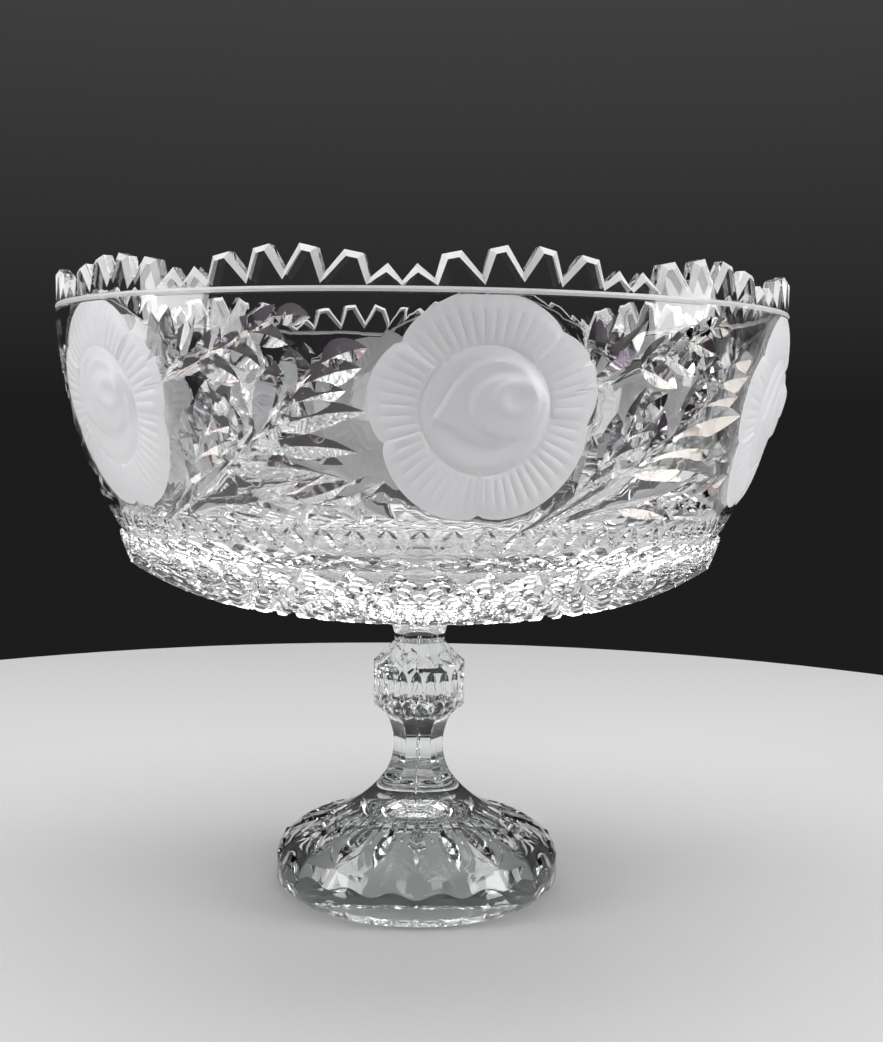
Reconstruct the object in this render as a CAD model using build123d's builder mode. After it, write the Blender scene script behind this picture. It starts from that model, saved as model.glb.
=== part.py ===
"""Footed crystal punch bowl: a pressed bowl bonded on top of a separate pressed pedestal.

Frame: +Z up, origin on the table at the centre of the foot, -Y is the front.
All sizes are in millimetres. The bowl and its pedestal are moulded separately,
ground flat where they meet, and held by a thin disc of clear cured adhesive.
"""
import os
from math import asin, cos, radians, tan

from build123d import *

# ---- driving dimensions: pedestal, from the table up
foot_radius = 60.8           # widest radius of the foot rim
foot_height = 46.2           # table to the ledge where the hexagonal stem starts
foot_rim_height = 15.0       # top of the upright rim of the foot
foot_bevel_width = 4.8       # bevel between the upright rim and the standing ring
foot_bevel_height = 4.5
foot_ring_width = 4.0        # width of the standing ring
foot_hollow_height = 34.0    # roof of the hollow under the foot
foot_ledge_radius = 15.6     # top of the foot, and corner radius of the stem's lower end
waist_radius = 10.6          # corner radius of the hexagonal stem at its narrowest
waist_length = 29.7          # foot ledge to the underside of the knop
knop_radius = 19.6           # belt of the knop
knop_height = 30.1
knop_shoulder = 8.7          # height of the cone above the belt
knop_heel = 3.6              # height of the bevel below the belt
neck_radius = 10.8           # corner radius of the hexagonal neck above the knop
neck_length = 3.45

# ---- driving dimensions: bond
bond_thickness = 0.3
bond_margin = 0.25           # the adhesive stops this far inside the stem's flats

# ---- driving dimensions: bowl, from its collar up
collar_radius = 11.0
collar_flare = 1.6           # how much wider the collar is where it meets the bowl
collar_length = 7.85
dome_shoulder_radius = 67.0  # where the shallow middle of the underside starts to curve up
dome_inner_rise = 8.7        # collar to that shoulder
dome_outer_rise = 24.2       # shoulder to the step ring
step_height = 5.0            # upright ring between underside and wall
wall_height = 88.5           # step ring to the ledge line
wall_inset = 25.2            # how far the wall draws in from the rim to the step ring
band_height = 14.5           # ledge line to the tallest tooth
rim_radius = 150.0
wall_thickness = 6.0
floor_thickness = 9.0
floor_corner_radius = 14.0   # inside round between wall and floor

# ---- decoration that stands proud of the wall, or is cut through the rim
rose_count = 6
rose_radius = 37.0
rose_relief = 1.6
rose_centre_drop = 39.0      # ledge line down to the centre of a rose
rose_turn = 7.4              # degrees from the front to the first rose
scallop_count = 12
scallop_turn = -2.65         # degrees from the front to the lowest rim valley
small_tooth_height = 5.6     # from the lowest valley of a scallop
lowest_valley_drop = 12.0    # from the tallest tooth

# ---- derived heights
knop_base = foot_height + waist_length
knop_top = knop_base + knop_height
stem_top = knop_top + neck_length
collar_face = stem_top + bond_thickness
dome_centre = collar_face + collar_length
dome_shoulder = dome_centre + dome_inner_rise
step_base = dome_shoulder + dome_outer_rise
step_top = step_base + step_height
ledge = step_top + wall_height
rim_top = ledge + band_height
step_radius = rim_radius - wall_inset
foot_rest_radius = foot_radius - foot_bevel_width
flat_ratio = cos(radians(30))          # half across flats over corner radius of a hexagon


# ---- pedestal: hexagonal stem, round knop and hollow foot, pressed as one piece
with BuildPart() as stem_bar:
    with BuildSketch(Plane.XZ):
        with BuildLine():
            waist_middle = foot_height + waist_length / 2
            lower = (foot_ledge_radius * flat_ratio, foot_height)
            upper = (foot_ledge_radius * flat_ratio, knop_base)
            ThreePointArc(lower, (waist_radius * flat_ratio, waist_middle), upper)
            Polyline(
                upper,
                (neck_radius * flat_ratio, knop_base + knop_heel),
                (neck_radius * flat_ratio, stem_top),
                (0, stem_top),
                (0, foot_height),
                lower,
            )
        make_face()
        mirror(about=Plane.YZ)
    extrude(amount=2 * knop_radius, both=True)

with BuildPart() as pedestal:
    add(stem_bar.part)
    add(stem_bar.part.rotate(Axis.Z, 60), mode=Mode.INTERSECT)
    add(stem_bar.part.rotate(Axis.Z, -60), mode=Mode.INTERSECT)
    with BuildSketch(Plane.XZ):
        with BuildLine():
            Polyline(
                (0, knop_base),
                (foot_ledge_radius, knop_base),
                (knop_radius, knop_base + knop_heel),
                (knop_radius, knop_top - knop_shoulder),
                (neck_radius, knop_top),
                (0, knop_top),
                close=True,
            )
        make_face()
    revolve(axis=Axis.Z)
    with BuildSketch(Plane.XZ):
        with BuildLine():
            ledge_edge = (foot_ledge_radius, foot_height)
            slope_fall = foot_height - foot_rim_height
            slope_run = foot_radius - foot_ledge_radius
            bend = (foot_ledge_radius + 0.63 * slope_run, foot_rim_height + 0.39 * slope_fall)
            dip = (foot_ledge_radius + 0.25 * slope_run, foot_rim_height + 0.66 * slope_fall)
            crown = (foot_ledge_radius + 0.86 * slope_run, foot_rim_height + 0.24 * slope_fall)
            ThreePointArc(ledge_edge, dip, bend)
            ThreePointArc(bend, crown, (foot_radius, foot_rim_height))
            hollow_radius = foot_rest_radius - foot_ring_width
            Polyline(
                (foot_radius, foot_rim_height),
                (foot_radius, foot_bevel_height),
                (foot_rest_radius, 0),
                (hollow_radius, 0),
            )
            hollow_sphere = (hollow_radius**2 + foot_hollow_height**2) / (2 * foot_hollow_height)
            RadiusArc((hollow_radius, 0), (0, foot_hollow_height), -hollow_sphere)
            Polyline((0, foot_hollow_height), (0, foot_height), ledge_edge)
        make_face()
    revolve(axis=Axis.Z)

pedestal.part.label = "pedestal"

# ---- adhesive: one thin round layer between stem and collar
with BuildPart() as bond_disc:
    with BuildSketch(Plane.XY.offset(stem_top)):
        Circle(min(neck_radius * flat_ratio, collar_radius) - bond_margin)
    extrude(amount=bond_thickness)

bond_disc.part.label = "bond_disc"

# ---- one scallop of the rim, as the air above its teeth; it is wedge shaped so that
# every tooth flank points at the bowl's axis. Angles run from a lowest valley, drops
# from the tallest tooth, and the scallop is the same on both sides of its middle.
half_scallop = 180 / scallop_count
valley_drop = lowest_valley_drop - 1.0
half_outline = [
    (0.00, lowest_valley_drop),
    (0.12, lowest_valley_drop - small_tooth_height),
    (0.265, valley_drop),
    (0.32, 3.4),
    (0.48, 2.1),
    (0.655, 9.8),
    (0.715, 1.4),
    (0.865, 0.0),
    (1.00, 8.5),
]
scallop_outline = [(share * half_scallop, drop) for share, drop in half_outline]
scallop_outline += [(2 * half_scallop - angle, drop) for angle, drop in scallop_outline[-2::-1]]
air_height = 4.0             # the cutter reaches this far above the teeth


def scallop_profile(distance):
    """Outline of the air over one scallop, at a distance from the bowl's axis."""
    points = [
        (distance * tan(radians(angle - half_scallop)), rim_top - drop)
        for angle, drop in scallop_outline
    ]
    left, right = points[0][0], points[-1][0]
    points += [(right, rim_top + air_height), (left, rim_top + air_height)]
    return points


inner_cut = rim_radius * cos(radians(half_scallop)) - wall_thickness - 8.0
outer_cut = rim_radius + 2.0
with BuildPart() as scallop_air:
    for distance in (inner_cut, outer_cut):
        with BuildSketch(Plane(origin=(0, -distance, 0), x_dir=(1, 0, 0), z_dir=(0, -1, 0))):
            Polygon(*scallop_profile(distance), align=None)
    loft(ruled=True)

# ---- rose pads: six rounds of the wall that stand proud and are carved as roses
wall_arc = (wall_height**2 + wall_inset**2) / (2 * wall_inset)
rose_height = ledge - rose_centre_drop
pad_root = wall_thickness / 2          # the pads are rooted this deep in the wall
with BuildPart() as rose_spoke:
    spoke_start = step_radius - wall_thickness
    with BuildSketch(Plane((0, -spoke_start, rose_height), (1, 0, 0), (0, -1, 0))):
        Circle(rose_radius)
    extrude(amount=wall_inset + 2 * wall_thickness)

with BuildPart() as rose_spokes:
    with PolarLocations(0, rose_count, start_angle=rose_turn):
        add(rose_spoke.part)

with BuildPart() as rose_pads:
    with BuildSketch(Plane.XZ):
        with BuildLine():
            foot_of_pad = (step_radius + rose_relief, step_top)
            top_of_pad = (rim_radius, ledge)
            drop_angle = asin(rose_centre_drop / wall_arc)
            wall_here = rim_radius - wall_arc * (1 - cos(drop_angle))
            ThreePointArc(foot_of_pad, (wall_here + rose_relief, rose_height), top_of_pad)
            Polyline(
                top_of_pad,
                (rim_radius - pad_root, ledge),
                (step_radius - pad_root, step_top),
                foot_of_pad,
            )
        make_face()
    revolve(axis=Axis.Z)
    add(rose_spokes.part, mode=Mode.INTERSECT)

# ---- bowl: collar, shallow underside, step ring, curved wall and straight rim band
with BuildPart() as bowl:
    with BuildSketch(Plane.XZ):
        with BuildLine():
            collar_foot = (collar_radius, collar_face)
            collar_head = (collar_radius + collar_flare, dome_centre)
            shoulder = (dome_shoulder_radius, dome_shoulder)
            dome_middle = (
                (collar_head[0] + shoulder[0]) / 2,
                dome_centre + 0.42 * dome_inner_rise,
            )
            outer_run = step_radius - dome_shoulder_radius
            outer_middle = (
                dome_shoulder_radius + 0.58 * outer_run,
                dome_shoulder + 0.37 * dome_outer_rise,
            )
            Polyline((0, collar_face), collar_foot, collar_head)
            ThreePointArc(collar_head, dome_middle, shoulder)
            ThreePointArc(shoulder, outer_middle, (step_radius, step_base))
            Line((step_radius, step_base), (step_radius, step_top))
            RadiusArc((step_radius, step_top), (rim_radius, ledge), -wall_arc)
            inside_radius = rim_radius - wall_thickness
            inside_step = step_radius - wall_thickness
            Polyline(
                (rim_radius, ledge),
                (rim_radius, rim_top),
                (inside_radius, rim_top),
                (inside_radius, ledge),
            )
            RadiusArc((inside_radius, ledge), (inside_step, step_top), wall_arc)
            floor_centre = dome_centre + floor_thickness
            floor_middle = (dome_shoulder_radius, dome_shoulder + floor_thickness)
            ThreePointArc((inside_step, step_top), floor_middle, (0, floor_centre))
            Line((0, floor_centre), (0, collar_face))
        make_face()
    revolve(axis=Axis.Z)
    floor_corner = bowl.edges().filter_by(GeomType.CIRCLE).filter_by(
        lambda edge: abs(edge.radius - inside_step) < 0.01
        and abs(edge.center().Z - step_top) < 0.01
    )
    fillet(floor_corner, floor_corner_radius)
    add(rose_pads.part)
    with PolarLocations(0, scallop_count, start_angle=scallop_turn + half_scallop):
        add(scallop_air.part, mode=Mode.SUBTRACT)

bowl.part.label = "bowl"

# ---- one file for each piece
os.makedirs("parts", exist_ok=True)
export_step(pedestal.part, "parts/pedestal.step")
export_step(bond_disc.part, "parts/bond_disc.step")
export_step(bowl.part, "parts/bowl.step")
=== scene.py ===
# %% [markdown]
# # Footed crystal punch bowl
# A pressed crystal bowl stands on a separate pressed pedestal, and a thin layer of clear
# adhesive joins them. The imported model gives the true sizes. This lesson carves the glass:
# each mitre cut, petal, tooth and button is real geometry, because glass shows its shape
# by how it bends light, and a flat shell with a painted pattern would look empty.

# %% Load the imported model
import cmath
import math

import bpy
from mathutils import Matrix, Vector
from mathutils.geometry import delaunay_2d_cdt


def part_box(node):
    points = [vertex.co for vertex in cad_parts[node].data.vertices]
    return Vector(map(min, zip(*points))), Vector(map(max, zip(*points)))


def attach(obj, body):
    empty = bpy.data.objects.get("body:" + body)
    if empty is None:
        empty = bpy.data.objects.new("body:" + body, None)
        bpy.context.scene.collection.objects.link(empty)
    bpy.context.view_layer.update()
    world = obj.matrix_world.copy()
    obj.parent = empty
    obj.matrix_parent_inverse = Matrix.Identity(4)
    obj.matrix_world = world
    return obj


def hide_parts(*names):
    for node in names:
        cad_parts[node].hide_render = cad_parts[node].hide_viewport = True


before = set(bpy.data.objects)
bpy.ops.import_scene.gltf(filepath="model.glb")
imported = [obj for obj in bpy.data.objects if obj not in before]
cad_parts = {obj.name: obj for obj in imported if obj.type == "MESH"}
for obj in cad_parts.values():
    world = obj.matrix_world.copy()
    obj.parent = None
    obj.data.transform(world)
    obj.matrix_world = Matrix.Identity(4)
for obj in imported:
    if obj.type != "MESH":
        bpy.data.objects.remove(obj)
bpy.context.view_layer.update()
MM = 0.001
bpy.ops.object.select_all(action="DESELECT")
print("nodes", sorted(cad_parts))

# %% [markdown]
# ## The camera
# The eye is as high as the middle of the bowl's wall, and four bowl radii away. From there
# the far half of the rim shows through the near half. A camera is a data block with a lens,
# and an object that places it. It is made from data, because no step of it needs an operator.

# %% Camera
LENS = 47.95                          # millimetres, for a sensor 36 mm wide
CAMERA_HEIGHT = 208.2                 # above the table
CAMERA_DISTANCE = 592.8               # from the axis of the bowl
PITCH, YAW, ROLL = 4.87, 0.78, -0.8   # degrees down, to the right and round the view

camera_data = bpy.data.cameras.new("camera")
camera_data.lens = LENS
camera_data.sensor_width = 36.0
camera_data.clip_start = 0.01
camera = bpy.data.objects.new("camera", camera_data)
bpy.context.scene.collection.objects.link(camera)
camera.location = (0, -CAMERA_DISTANCE * MM, CAMERA_HEIGHT * MM)
camera.rotation_mode = "XYZ"
camera.rotation_euler = (
    math.radians(90 - PITCH), math.radians(ROLL), math.radians(-YAW))
bpy.context.scene.camera = camera
print("camera", [round(c, 3) for c in camera.location])

# %% [markdown]
# ## Sizes read from the frame
# The two nodes give the rim, the joint and the foot. The few sizes between them are
# written once, in millimetres. The wall is one arc that runs from the step to the ledge, and
# it is upright at the ledge, which fixes its radius.

# %% Sizes
bowl_low, bowl_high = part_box("bowl")
foot_low, foot_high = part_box("pedestal")
RIM_TOP = bowl_high.z / MM
RIM_RADIUS = bowl_high.x / MM
JOINT = foot_high.z / MM
COLLAR_FACE = bowl_low.z / MM
TOOTH_BAND = 14.5        # rim to ledge line
WALL_HEIGHT = 88.5       # ledge line to step
WALL_TAPER = 25.2        # how far the wall draws in on its way down
STEP_HEIGHT = 5.0
WALL = 6.0
LEDGE = RIM_TOP - TOOTH_BAND
STEP_TOP = LEDGE - WALL_HEIGHT
STEP_BASE = STEP_TOP - STEP_HEIGHT
STEP_RADIUS = RIM_RADIUS - WALL_TAPER
ROSE_TURN = 7.4          # degrees from the front to the first rose
SCALLOP_TURN = -2.65     # degrees from the front to a lowest valley of the rim
WALL_ARC = (WALL_HEIGHT ** 2 + WALL_TAPER ** 2) / (2 * WALL_TAPER)
ROSES = 6
MM_PER_DEGREE = 2.5      # the wall is drawn unrolled at this scale
GAP = 360 / ROSES * MM_PER_DEGREE   # one rose to the next, in unrolled millimetres
LEFT, RIGHT = -GAP / 2, GAP / 2     # the sixth of the wall that is drawn
print("rim", round(RIM_RADIUS, 2), "top", round(RIM_TOP, 2), "joint", round(JOINT, 2))


def wall_radius(z):
    """Outside radius of the plain wall at a height."""
    if z >= LEDGE:
        return RIM_RADIUS
    if z <= STEP_TOP:
        return STEP_RADIUS
    return RIM_RADIUS - WALL_ARC + math.sqrt(WALL_ARC ** 2 - (LEDGE - z) ** 2)

# %% [markdown]
# ## Carving a sheet
# A cutter's wheel leaves a groove with a sharp floor and sharp edges. Boolean cuts by
# hundreds of wedges would leave slivers, and a displaced grid would blur every edge. So
# each sheet of glass is triangulated between the very lines of the cuts. The sheet is
# carved flat, in two coordinates, and a placing function wraps it onto the bowl.

# %% Lines
def polyline(points, closed=False):
    """Edges of one line as pairs of points."""
    pairs = list(zip(points, points[1:]))
    if closed:
        pairs.append((points[-1], points[0]))
    return pairs


def turned(radius, angle, z):
    """The place at a radius and a height, angle radians to the right of the front."""
    return (radius * math.sin(angle), -radius * math.cos(angle), z)


def between(a, b, steps):
    """Evenly spaced points from a to b, both included."""
    return [
        (a[0] + (b[0] - a[0]) * k / steps, a[1] + (b[1] - a[1]) * k / steps)
        for k in range(steps + 1)
    ]


# %% Triangles between lines
def carve_flat(edges, loose, keep):
    """Triangles between the given edges and loose points whose middle passes keep."""
    spots, lines = [], []
    for a, b in edges:
        lines.append((len(spots), len(spots) + 1))
        spots += [Vector(a), Vector(b)]
    spots += [Vector(p) for p in loose]
    verts, _, faces, *_ = delaunay_2d_cdt(spots, lines, [], 0, 1e-4)
    points = [tuple(v) for v in verts]
    kept = []
    for face in faces:
        middle = [sum(points[i][axis] for i in face) / len(face) for axis in (0, 1)]
        if keep(*middle):
            kept.append(tuple(face))
    used = sorted({i for face in kept for i in face})
    renumber = {old: new for new, old in enumerate(used)}
    return [points[i] for i in used], [tuple(renumber[i] for i in face) for face in kept]


# %% [markdown]
# ## A shell of sheets and rings
# Glass shows light bent on its way in and again on its way out, so every piece of glass has
# to be one closed skin. Sheets and rings are collected first. Then the mesh is made, its
# equal corners are merged by an operator, and the open edges are counted: there are none.

# %% Shell
MERGE = 0.00004          # metres; corners nearer than this are one corner
SMOOTH_UNDER = 22        # degrees; a sharper edge is a cut edge and stays crisp


class Shell:
    """A growing mesh of placed sheets; equal corners are merged at the end."""

    def __init__(self):
        self.verts, self.faces, self.finish = [], [], []

    def add(self, points, faces, place, finish=0, turns=1):
        """Places a flat sheet, and as many turned copies as make up turns in all."""
        placed = [place(*p) for p in points]
        marks = finish if isinstance(finish, list) else [finish] * len(faces)
        for turn in range(turns):
            angle = 2 * math.pi * turn / turns
            c, s = math.cos(angle), math.sin(angle)
            start = len(self.verts)
            self.verts += [(x * c - y * s, x * s + y * c, z) for x, y, z in placed]
            self.faces += [[start + i for i in face] for face in faces]
            self.finish += marks

    def lathe(self, profile, count, finish=0, start_angle=0.0, shape=None):
        """Rings of a turned surface; shape may change the radius and height at an angle."""
        shape = shape or (lambda r, z, angle: (r, z))
        grid = []
        for r, z in profile:
            if r == 0:
                ring = [len(self.verts)] * count
                self.verts.append((0, 0, z))
            else:
                ring = []
                for k in range(count):
                    angle = start_angle + 2 * math.pi * k / count
                    radius, height = shape(r, z, angle)
                    ring.append(len(self.verts))
                    self.verts.append(turned(radius, angle, height))
            grid.append(ring)
        for low, high in zip(grid, grid[1:]):
            for k in range(count):
                n = (k + 1) % count
                corners = [low[k], low[n], high[n], high[k]]
                corners = [c for i, c in enumerate(corners) if c != corners[i - 1]]
                self.faces.append(corners)
                self.finish.append(finish)

    def make(self, name):
        mesh = bpy.data.meshes.new(name)
        mesh.from_pydata([[c * MM for c in v] for v in self.verts], [], self.faces)
        mesh.polygons.foreach_set("material_index", self.finish)
        piece = bpy.data.objects.new(name, mesh)
        bpy.context.scene.collection.objects.link(piece)
        bpy.context.view_layer.objects.active = piece
        piece.select_set(True)
        bpy.ops.object.mode_set(mode="EDIT")
        bpy.ops.mesh.select_all(action="SELECT")
        bpy.ops.mesh.remove_doubles(threshold=MERGE)
        bpy.ops.mesh.normals_make_consistent(inside=False)
        bpy.ops.mesh.select_all(action="DESELECT")
        bpy.ops.mesh.select_mode(type="EDGE")
        bpy.ops.mesh.select_non_manifold()
        open_edges = piece.data.total_edge_sel
        bpy.ops.mesh.select_mode(type="VERT")
        bpy.ops.object.mode_set(mode="OBJECT")
        bpy.ops.object.shade_smooth_by_angle(angle=math.radians(SMOOTH_UNDER))
        piece.select_set(False)
        print(name, "faces", len(piece.data.polygons), "open edges", open_edges)
        return piece

# %% [markdown]
# ## Mitre-cut leaves
# A leaf is one stroke of a V-edged wheel: a pointed oval with a straight floor line. Its
# depth follows its width, so the cut runs out to nothing at both ends. Where two leaves
# cross, the deeper groove wins. A leaf therefore needs two things: the lines that the mesh
# must follow, and its depth at any place.

# %% One leaf
CUT_SLOPE = 0.55         # depth of a cut over its half width
LEAF_STEPS = 6           # straight pieces in each line of a cut


class Leaf:
    """A V-shaped cut from base to tip; bend is how far its middle moves aside."""

    lines = (0, -1, 1)   # its lines, as shares of the half width

    def __init__(self, base, tip, width, bend=0.0, slope=CUT_SLOPE):
        self.base, self.tip, self.half, self.bend = base, tip, width / 2, bend
        self.slope = slope
        dx, dy = tip[0] - base[0], tip[1] - base[1]
        self.length = math.hypot(dx, dy)
        self.along = (dx / self.length, dy / self.length)

    def width_at(self, t):
        return self.half * math.sin(math.pi * t ** 0.85) ** 0.8 if 0 < t < 1 else 0.0

    def spine_at(self, t):
        return self.bend * 4 * t * (1 - t)

    def spot(self, t, side=0.0):
        across = self.spine_at(t) + side
        ux, uy = self.along
        run = t * self.length
        return (self.base[0] + ux * run - uy * across, self.base[1] + uy * run + ux * across)

    def edges(self):
        steps = [k / LEAF_STEPS for k in range(LEAF_STEPS + 1)]
        return [pair for side in self.lines
                for pair in polyline([self.spot(t, side * self.width_at(t)) for t in steps])]

    def place_of(self, x, y):
        """Share of the length, half width there, and distance from the floor line."""
        dx, dy = x - self.base[0], y - self.base[1]
        t = (dx * self.along[0] + dy * self.along[1]) / self.length
        across = -dx * self.along[1] + dy * self.along[0] - self.spine_at(t)
        return t, self.width_at(t), abs(across)

    def depth(self, x, y):
        t, half, off = self.place_of(x, y)
        return self.slope * max(0.0, half - off) if 0 < t < 1 else 0.0


class Hollow(Leaf):
    """A thumb cut: the outline of a leaf with a round floor."""

    lines = (-1, -0.67, -0.33, 0, 0.33, 0.67, 1)

    def depth(self, x, y):
        t, half, off = self.place_of(x, y)
        return self.slope * half * (1 - (off / half) ** 2) if off < half else 0.0

# %% [markdown]
# ## Sprigs between the roses
# Each gap between two roses holds the same foliage. A sprig is a curved stem with leaves
# set along it. Only the stem's ends and each leaf's root, angle, length and width are
# written, as an engraver lays a pattern out.

# %% Sprigs
LEAF_BEND = 0.06         # bow of a leaf over its length
LEAF_WIDEN = 1.15        # width of the wheel's stroke over the width drawn


def sprig(start, end, stem_width, bend, leaves):
    """A stem from start to end with leaves: (share of stem, angle, length, width)."""
    stem = Leaf(start, end, stem_width, bend)
    cuts = [stem]
    heading = math.degrees(math.atan2(stem.along[1], stem.along[0]))
    for share, angle, length, width in leaves:
        root = stem.spot(share)
        turn = math.radians(heading + angle)
        tip = (root[0] + length * math.cos(turn), root[1] + length * math.sin(turn))
        bend = -math.copysign(LEAF_BEND * length, angle)
        cuts.append(Leaf(root, tip, LEAF_WIDEN * width, bend=bend))
    return cuts


def foliage():
    """The cuts of one gap; x is measured from the rose on the right of it."""
    main = sprig((-132, 164), (-50, 221), 5.0, -6.0, [
        (0.99, -16, 16, 8.6), (0.89, -18, 21, 9.0), (0.77, -18, 25, 9.4),
        (0.64, -22, 41, 9.4), (0.53, -32, 46, 8.6), (0.44, -38, 52, 7.6),
        (0.86, 58, 15, 9.6), (0.68, 36, 24, 10.6), (0.52, 44, 18, 8.0),
    ])
    lower = sprig((-118, 167), (-26, 169), 4.6, 6.0, [
        (0.30, 15, 40, 6.8), (0.45, 13, 38, 6.6), (0.62, 15, 32, 6.2),
        (0.25, -9, 34, 5.6), (0.47, -9, 32, 5.4), (0.68, -10, 26, 5.0),
    ])
    inner = sprig((-124, 168), (-92, 204), 4.0, -3.0, [
        (0.30, 36, 21, 8.0), (0.55, 36, 20, 9.4), (0.80, 26, 20, 9.4), (0.98, -6, 14, 8.0),
        (0.38, -30, 25, 7.4), (0.62, -30, 21, 8.0), (0.82, -36, 16, 7.6),
    ])
    upper = sprig((-121, 212), (-62, 237), 4.6, -2.0, [
        (0.10, 46, 27, 9.6), (0.14, 70, 23, 8.6), (0.06, 22, 33, 8.4),
        (0.42, 24, 16, 7.2), (0.60, 22, 15, 7.0), (0.78, 20, 13, 6.4),
        (0.42, -44, 18, 7.6), (0.60, -48, 16, 7.4), (0.78, -40, 14, 7.0), (0.94, -24, 12, 6.6),
    ])
    return main + lower + inner + upper


# %% Zigzag over the step
ZIGZAG = (STEP_TOP + 1.8, STEP_TOP + 10.0)   # its foot and its points
ZIGZAG_COUNT = 12
ZIGZAG_WIDTH = 2.8


def zigzag():
    """Crossing short cuts that leave a row of triangles above the step."""
    pitch, (low, high) = GAP / ZIGZAG_COUNT, ZIGZAG
    cuts = []
    for k in range(ZIGZAG_COUNT):
        x = -GAP + (k + 0.5) * pitch
        cuts.append(Leaf((x - pitch / 2, low), (x, high), ZIGZAG_WIDTH))
        cuts.append(Leaf((x, high), (x + pitch / 2, low), ZIGZAG_WIDTH))
    return cuts


leaves = foliage() + zigzag()
print("cuts in one gap", len(leaves))

# %% [markdown]
# ## Relief roses
# The roses are pressed into the mould and then frosted with acid. Five petals overlap round
# a bud, and each petal is ribbed. Sculpting would be the usual way, but a formula gives six
# equal roses and can be changed later. It is read at the corners of a round mesh that has
# four corners to a rib, so that each rib has a crest and a valley.

# %% Rose outline
ROSE_HEIGHT = LEDGE - 38.5
ROSE_X = 1.9              # the rose sits a little to the right of its place
VALLEY_RADIUS = 34.6      # outline between two petals
PETAL_BULGE = 3.8         # outline in the middle of a petal, beyond that
LEDGE_GAP = 1.4           # the rose's top is cut straight, this far under the ledge line
BUD_RADIUS = 21.0
PETAL_EDGES = [47, 141, 198, 270, 355]      # where one petal laps over the next, degrees


def petal_share(angle):
    """Share of the way across the petal at an angle in degrees, from 0 to 1."""
    for number, first in enumerate(PETAL_EDGES):
        last = PETAL_EDGES[(number + 1) % len(PETAL_EDGES)]
        span = (last - first) % 360
        if (angle - first) % 360 <= span:
            return ((angle - first) % 360) / span
    return 0.0


def rose_edge(angle):
    """Radius of the rose's outline."""
    radius = VALLEY_RADIUS + PETAL_BULGE * math.sin(math.pi * petal_share(angle)) ** 0.6
    rise = math.sin(math.radians(angle))
    ceiling = LEDGE - LEDGE_GAP - ROSE_HEIGHT
    return min(radius, ceiling / rise) if rise > 0.2 else radius


def rose_spot(r, angle):
    """Place on the unrolled wall of a radius and an angle in degrees in the rose."""
    a = math.radians(angle)
    return (ROSE_X + r * math.cos(a), ROSE_HEIGHT + r * math.sin(a))


def in_rose(x, z):
    dx, dz = x - ROSE_X, z - ROSE_HEIGHT
    return math.hypot(dx, dz) < rose_edge(math.degrees(math.atan2(dz, dx)))


rose_outline = [rose_spot(rose_edge(angle), angle) for angle in range(0, 360, 3)]
print("rose outline", len(rose_outline), "corners")

# %% [markdown]
# ## Height of the relief
# From outside to inside, the petals rise from the wall, swell, and step up where they lap
# over each other. The bud is a low disc with a soft lip. On it lie a pointed oval petal, a
# rounder one and a hollow core, each a soft step over the one below.

# %% Rose relief
RIBS = 52
RELIEF = 0.46             # millimetres for one unit of the formulas below
SUNK = 0.5                # the frosted field is sunk by this, so that the wall stays round


def ramp(value, low, high):
    """Smooth step from 0 at low to 1 at high."""
    t = min(1.0, max(0.0, (value - low) / (high - low)))
    return t * t * (3 - 2 * t)


def oval(dx, dz, x, z, wide, high):
    """1 in the middle of an oval at x, z, and 0 on its edge."""
    return 1 - math.hypot((dx - x) / wide, (dz - z) / high)


def rose_relief(x, z):
    """Height of the relief over the frosted field, in its own units."""
    dx, dz = x - ROSE_X, z - ROSE_HEIGHT
    r = math.hypot(dx, dz)
    angle = math.degrees(math.atan2(dz, dx))
    edge = rose_edge(angle)
    if r >= edge:
        return 0.0
    body = 1.3 * ramp(edge - r, 0.0, 1.6)
    swell = 1.3 * math.sin(math.pi * min(1, max(0, (r - BUD_RADIUS) / (edge - BUD_RADIUS))))
    lap = 1.5 * (1 - petal_share(angle)) ** 2 * ramp(edge - r, 0, 4)
    strength = ramp(r, BUD_RADIUS - 0.5, BUD_RADIUS + 4) * ramp(edge - r, 1.5, 6)
    rib = (abs(math.cos(math.radians(RIBS / 2 * angle))) ** 0.7 - 0.8) * strength
    petals = body + (swell + lap) * ramp(r, BUD_RADIUS - 1, BUD_RADIUS + 2) + rib
    bud = (2.6 * ramp(BUD_RADIUS + 0.4 - r, 0.0, 2.8)
           - ramp(BUD_RADIUS - 3.0 - r, 0.0, 5.0) + 0.5 * (1 - (r / BUD_RADIUS) ** 2))
    if r > BUD_RADIUS + 0.4:
        return petals
    turn = (math.degrees(math.atan2(dz - 3.0, dx - 3.2)) - 196 + 180) % 360 - 180
    almond = 14.8 + 7.2 * math.exp(-abs(turn) / 17) - math.hypot(dx - 3.2, dz - 3.0)
    petal = 13.0 * oval(dx, dz, 7.4, 1.6, 14.0, 11.4)
    core = 8.0 * oval(dx, dz, 9.0, 4.4, 8.6, 6.8)
    return (0.7 + bud * 0.8 + 2.0 * ramp(almond, 0, 2.2) + 1.8 * ramp(petal, 0, 2.4)
            + 1.6 * ramp(core, 0, 2.2) - 1.9 * ramp(core, 2.6, 7.4))


PETAL_RINGS = (0.2, 1.2, 2.6, 4.4, 6.4, 8.4, 10.2, 11.8, 13.2)   # outside the bud
BUD_PITCH = 1.15


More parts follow.
